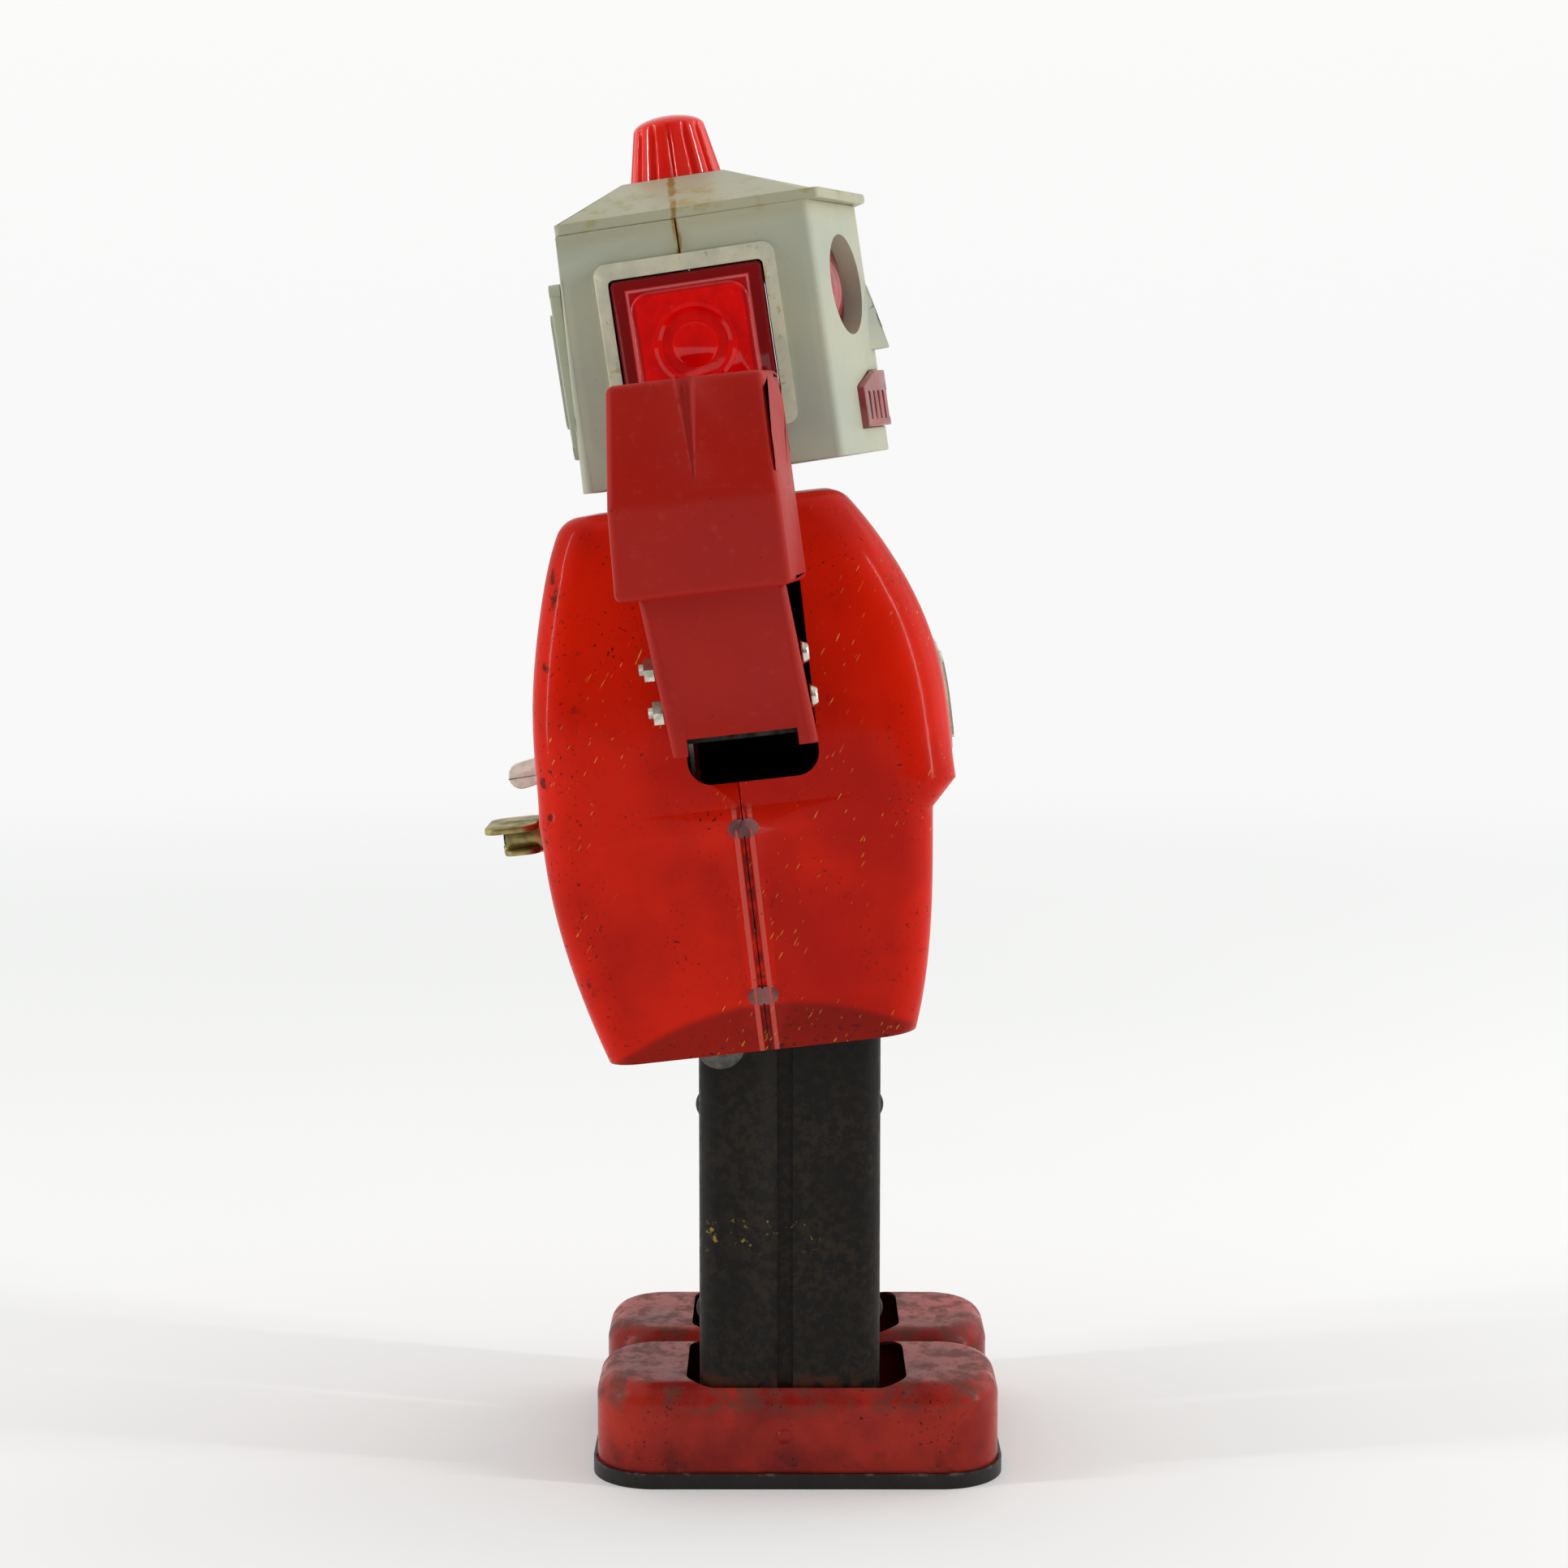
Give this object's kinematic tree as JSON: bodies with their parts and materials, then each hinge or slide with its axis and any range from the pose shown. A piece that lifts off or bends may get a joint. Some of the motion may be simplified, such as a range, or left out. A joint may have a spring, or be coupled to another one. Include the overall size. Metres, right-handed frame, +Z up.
{
  "type": "wind-up toy robot",
  "caption": "Upright wind-up walking robot: boxy leaning tin torso, raised block hands, grey angular head with red lenses and a beacon, tubular legs on wide flat feet.",
  "frame": {"origin": "on the floor under the middle of the bounding box", "axes": "+Z up, -Y the way the robot faces, -X the robot's right"},
  "size_m": [0.1736, 0.1154, 0.2988],
  "materials": {
    "red_tin": "gloss, worn",
    "maroon_tab": "satin",
    "bright_rim": "bright",
    "clear_pane": "clear",
    "printed_dial": "printed",
    "brass": "dull",
    "grey_plastic": "satin",
    "frame_plastic": "satin",
    "red_lens": "translucent",
    "eye_lens": "translucent",
    "mouth_plastic": "translucent",
    "steel": "dull",
    "spring_steel": "blued",
    "red_plastic": "satin",
    "nickel": "bright",
    "dark_tin": "semi-gloss, worn",
    "foot_red_tin": "gloss, worn",
    "black_tin": "satin",
    "roller_plastic": "satin"
  },
  "bodies": {
    "torso": {"torso_front_shell": "red_tin", "torso_back_shell": "red_tin", "seam_tabs": "maroon_tab", "chest_window_rim": "bright_rim", "chest_window_pane": "clear_pane", "chest_dial_plate": "printed_dial", "front_stud": "brass", "neck_collar": "grey_plastic", "arm_pins": "steel", "arm_yoke": "steel", "hip_frame": "steel", "hip_pin_rod": "steel", "back_strap": "bright_rim", "plate_posts": "steel", "movement_front_plate": "brass", "movement_back_plate": "brass", "mainspring": "spring_steel", "pawl": "steel"},
    "head": {"head_front_shell": "grey_plastic", "head_back_shell": "grey_plastic", "mouth_grille": "mouth_plastic", "ear_frame_right": "frame_plastic", "ear_frame_left": "frame_plastic", "ear_lens_right": "red_lens", "ear_lens_left": "red_lens", "eye_lens_right": "eye_lens", "eye_lens_left": "eye_lens", "head_back_panel": "grey_plastic", "head_roof": "grey_plastic", "beacon": "red_lens"},
    "winding": {"winding_arbor": "steel", "ratchet_wheel": "steel", "winding_key": "brass"},
    "great": {"great_wheel": "brass"},
    "second": {"second_arbor": "steel"},
    "crank": {"crank_shaft": "steel"},
    "stop": {"stop_lever": "steel"},
    "arm_right": {"arm_shell_right": "red_plastic", "arm_bracket_right": "steel", "arm_screws_right": "nickel"},
    "leg_right": {"leg_shell_right": "dark_tin", "leg_lever_right": "steel"},
    "foot_right": {"foot_shell_right": "foot_red_tin", "sole_right": "black_tin", "foot_frame_right": "steel", "foot_pins_right": "steel"},
    "front_roller_right": {"front_roller_right": "roller_plastic"},
    "rear_roller_right": {"rear_roller_right": "roller_plastic"},
    "arm_left": {"arm_shell_left": "red_plastic", "arm_bracket_left": "steel", "arm_screws_left": "nickel"},
    "leg_left": {"leg_shell_left": "dark_tin", "leg_lever_left": "steel"},
    "foot_left": {"foot_shell_left": "foot_red_tin", "sole_left": "black_tin", "foot_frame_left": "steel", "foot_pins_left": "steel"},
    "front_roller_left": {"front_roller_left": "roller_plastic"},
    "rear_roller_left": {"rear_roller_left": "roller_plastic"}
  },
  "joints": [
    {"name": "head_turn", "type": "hinge", "parent": "torso", "child": "head", "pos_m": [0, 0.00569, 0.2198], "axis": [0, 0.1461, 0.9893], "range_deg": [-30, 30]},
    {"name": "arm_raise_right", "type": "hinge", "parent": "torso", "child": "arm_right", "pos_m": [-0.012, 0.0002, 0.17796], "axis": [0, 0.9938, -0.1115], "range_deg": [-12, 12]},
    {"name": "arm_raise_left", "type": "hinge", "parent": "torso", "child": "arm_left", "pos_m": [0.012, 0.0002, 0.17796], "axis": [0, -0.9938, 0.1115], "range_deg": [-12, 12]},
    {"name": "leg_swing_right", "type": "hinge", "parent": "torso", "child": "leg_right", "pos_m": [-0.0204, -0.00944, 0.105], "axis": [1, 0, 0], "range_deg": [-5.5, 5.5]},
    {"name": "leg_swing_left", "type": "hinge", "parent": "torso", "child": "leg_left", "pos_m": [0.0204, -0.00944, 0.105], "axis": [1, 0, 0], "range_deg": [-5.5, 5.5]},
    {"name": "ankle_right", "type": "hinge", "parent": "leg_right", "child": "foot_right", "pos_m": [-0.0204, -0.00944, 0.0115], "axis": [1, 0, 0], "range_deg": [-5.5, 5.5]},
    {"name": "front_roller_spin_right", "type": "hinge", "parent": "foot_right", "child": "front_roller_right", "pos_m": [-0.0204, -0.04144, 0.00455], "axis": [1, 0, 0], "continuous": true},
    {"name": "rear_roller_spin_right", "type": "hinge", "parent": "foot_right", "child": "rear_roller_right", "pos_m": [-0.0204, 0.01956, 0.00455], "axis": [1, 0, 0], "continuous": true},
    {"name": "ankle_left", "type": "hinge", "parent": "leg_left", "child": "foot_left", "pos_m": [0.0204, -0.00944, 0.0115], "axis": [1, 0, 0], "range_deg": [-5.5, 5.5]},
    {"name": "front_roller_spin_left", "type": "hinge", "parent": "foot_left", "child": "front_roller_left", "pos_m": [0.0204, -0.04144, 0.00455], "axis": [1, 0, 0], "continuous": true},
    {"name": "rear_roller_spin_left", "type": "hinge", "parent": "foot_left", "child": "rear_roller_left", "pos_m": [0.0204, 0.01956, 0.00455], "axis": [1, 0, 0], "continuous": true},
    {"name": "key_turn", "type": "hinge", "parent": "torso", "child": "winding", "pos_m": [0, 0.0163, 0.14204], "axis": [0, 0.9938, -0.1115], "continuous": true},
    {"name": "great_wheel_spin", "type": "hinge", "parent": "torso", "child": "great", "pos_m": [0, 0.0163, 0.14204], "axis": [0, 0.9938, -0.1115], "continuous": true},
    {"name": "second_arbor_spin", "type": "hinge", "parent": "torso", "child": "second", "pos_m": [0, 0.01407, 0.12217], "axis": [0, 0.9938, -0.1115], "continuous": true},
    {"name": "crank_spin", "type": "hinge", "parent": "torso", "child": "crank", "pos_m": [0, 0.00155, 0.12357], "axis": [1, 0, 0], "continuous": true},
    {"name": "stop_lever_tilt", "type": "hinge", "parent": "torso", "child": "stop", "pos_m": [0, 0.03741, 0.15618], "axis": [1, 0, 0], "range_deg": [0, 18]}
  ],
  "couplings": [
    {"joint": "arm_raise_left", "follows": "arm_raise_right", "ratio": 1},
    {"joint": "leg_swing_left", "follows": "leg_swing_right", "ratio": -1},
    {"joint": "ankle_right", "follows": "leg_swing_right", "ratio": -1},
    {"joint": "ankle_left", "follows": "leg_swing_right", "ratio": 1},
    {"joint": "second_arbor_spin", "follows": "great_wheel_spin", "ratio": -4},
    {"joint": "crank_spin", "follows": "great_wheel_spin", "ratio": -9.6}
  ]
}
